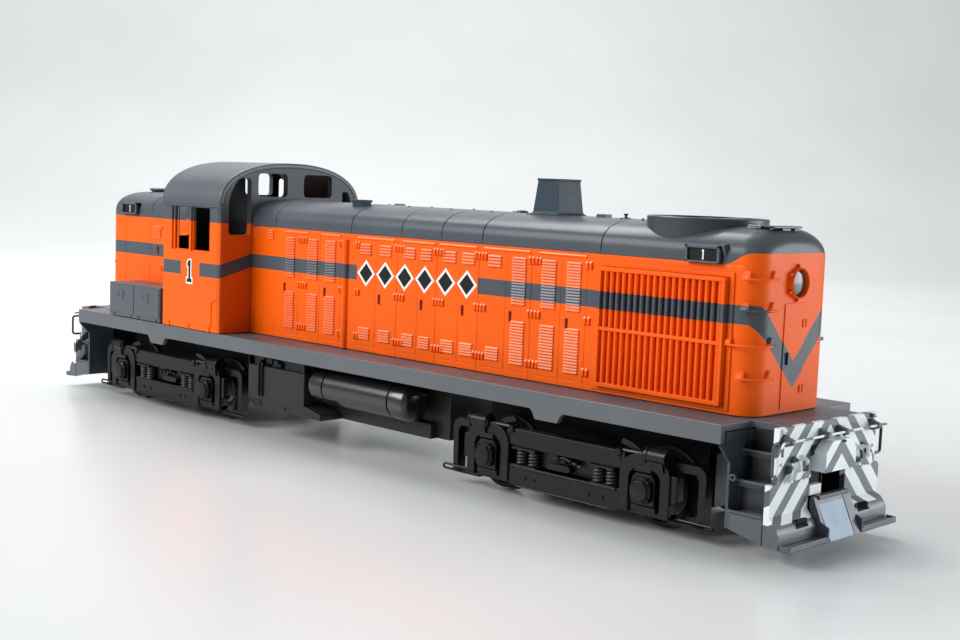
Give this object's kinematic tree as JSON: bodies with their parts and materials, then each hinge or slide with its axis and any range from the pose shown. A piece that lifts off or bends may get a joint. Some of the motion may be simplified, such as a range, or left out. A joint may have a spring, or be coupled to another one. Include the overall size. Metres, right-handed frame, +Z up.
{
  "type": "model diesel locomotive",
  "caption": "O scale model diesel road-switcher with a long hood, cab, short hood, end steps and two swivelling powered trucks.",
  "frame": {"origin": "under the middle of the locomotive, on the surface the wheel flanges stand on", "axes": "+X along the locomotive towards the long-hood end, +Y to its left, +Z up"},
  "size_m": [0.36, 0.0658, 0.0981],
  "materials": {
    "body_orange": "satin bright orange paint over moulded plastic, with a grey roof band and a grey stripe",
    "trim_grey": "satin mid grey paint",
    "frame_grey": "satin mid grey paint on a die-cast frame, with a tread pattern on the walkway",
    "pilot_stripes": "satin white and grey chevron stripes",
    "underframe_black": "satin charcoal moulded plastic",
    "truck_casting": "satin black die-cast metal",
    "wheel_steel": "blackened turned steel with brighter treads",
    "motor_steel": "plain drawn steel",
    "steel": "plain turned steel",
    "brass": "turned brass",
    "wire_black": "black moulded wire",
    "lens": "dark clear plastic lens",
    "circuit_board": "green printed circuit board"
  },
  "bodies": {
    "body": {"air_reservoir_left": "underframe_black", "air_reservoir_right": "underframe_black", "battery_box_left": "trim_grey", "battery_box_right": "trim_grey", "cab_body": "body_orange", "cab_floor": "underframe_black", "cab_roof": "trim_grey", "circuit_board": "circuit_board", "exhaust_stack": "trim_grey", "footboards_front": "trim_grey", "footboards_rear": "trim_grey", "frame": "frame_grey", "fuel_tank": "underframe_black", "grab_iron_front": "wire_black", "grab_iron_rear": "wire_black", "headlight_bezel_front": "body_orange", "headlight_bezel_rear": "body_orange", "headlight_lens_front": "lens", "headlight_lens_rear": "lens", "kingpin_front": "steel", "kingpin_rear": "steel", "long_hood": "body_orange", "number_board_front_left": "trim_grey", "number_board_front_right": "trim_grey", "number_board_rear_left": "trim_grey", "number_board_rear_right": "trim_grey", "pilot_front": "pilot_stripes", "pilot_rear": "pilot_stripes", "radiator_fan_shroud": "trim_grey", "radiator_grille_left": "body_orange", "radiator_grille_right": "body_orange", "short_hood": "body_orange", "steps_front_a": "trim_grey", "steps_front_b": "trim_grey", "steps_rear_a": "trim_grey", "steps_rear_b": "trim_grey", "uncoupling_lever_front": "trim_grey", "uncoupling_lever_rear": "trim_grey"},
    "front_driven_wheels": {"axle_front_driven": "wheel_steel", "wheel_front_driven_a": "wheel_steel", "wheel_front_driven_b": "wheel_steel"},
    "front_trailing_wheels": {"axle_front_trailing": "wheel_steel", "wheel_front_trailing_a": "wheel_steel", "wheel_front_trailing_b": "wheel_steel"},
    "rear_driven_wheels": {"axle_rear_driven": "wheel_steel", "wheel_rear_driven_a": "wheel_steel", "wheel_rear_driven_b": "wheel_steel"},
    "rear_trailing_wheels": {"axle_rear_trailing": "wheel_steel", "wheel_rear_trailing_a": "wheel_steel", "wheel_rear_trailing_b": "wheel_steel"},
    "front_truck": {"gearbox_front": "truck_casting", "motor_front": "motor_steel", "side_frame_front_a": "underframe_black", "side_frame_front_b": "underframe_black"},
    "rear_truck": {"gearbox_rear": "truck_casting", "motor_rear": "motor_steel", "side_frame_rear_a": "underframe_black", "side_frame_rear_b": "underframe_black"},
    "front_motor_rotor": {"motor_rotor_front": "brass"},
    "rear_motor_rotor": {"motor_rotor_rear": "brass"}
  },
  "joints": [
    {"name": "front_truck_swivel", "type": "hinge", "parent": "body", "child": "front_truck", "pos_m": [0.104, 0, 0.028], "axis": [0, 0, 1], "range_deg": [-10, 10]},
    {"name": "front_driven_wheels_spin", "type": "hinge", "parent": "front_truck", "child": "front_driven_wheels", "pos_m": [0.1337, 0, 0.0116], "axis": [0, 1, 0], "continuous": true},
    {"name": "front_trailing_wheels_spin", "type": "hinge", "parent": "front_truck", "child": "front_trailing_wheels", "pos_m": [0.0743, 0, 0.0116], "axis": [0, 1, 0], "continuous": true},
    {"name": "front_motor_spin", "type": "hinge", "parent": "front_truck", "child": "front_motor_rotor", "pos_m": [0.123, 0, 0.037], "axis": [0, 0, 1], "continuous": true},
    {"name": "rear_truck_swivel", "type": "hinge", "parent": "body", "child": "rear_truck", "pos_m": [-0.104, 0, 0.028], "axis": [0, 0, 1], "range_deg": [-10, 10]},
    {"name": "rear_driven_wheels_spin", "type": "hinge", "parent": "rear_truck", "child": "rear_driven_wheels", "pos_m": [-0.1337, 0, 0.0116], "axis": [0, 1, 0], "continuous": true},
    {"name": "rear_trailing_wheels_spin", "type": "hinge", "parent": "rear_truck", "child": "rear_trailing_wheels", "pos_m": [-0.0743, 0, 0.0116], "axis": [0, 1, 0], "continuous": true},
    {"name": "rear_motor_spin", "type": "hinge", "parent": "rear_truck", "child": "rear_motor_rotor", "pos_m": [-0.123, 0, 0.037], "axis": [0, 0, 1], "continuous": true}
  ],
  "couplings": [
    {"joint": "front_driven_wheels_spin", "follows": "front_motor_spin", "ratio": 0.090909},
    {"joint": "rear_driven_wheels_spin", "follows": "rear_motor_spin", "ratio": 0.090909}
  ]
}
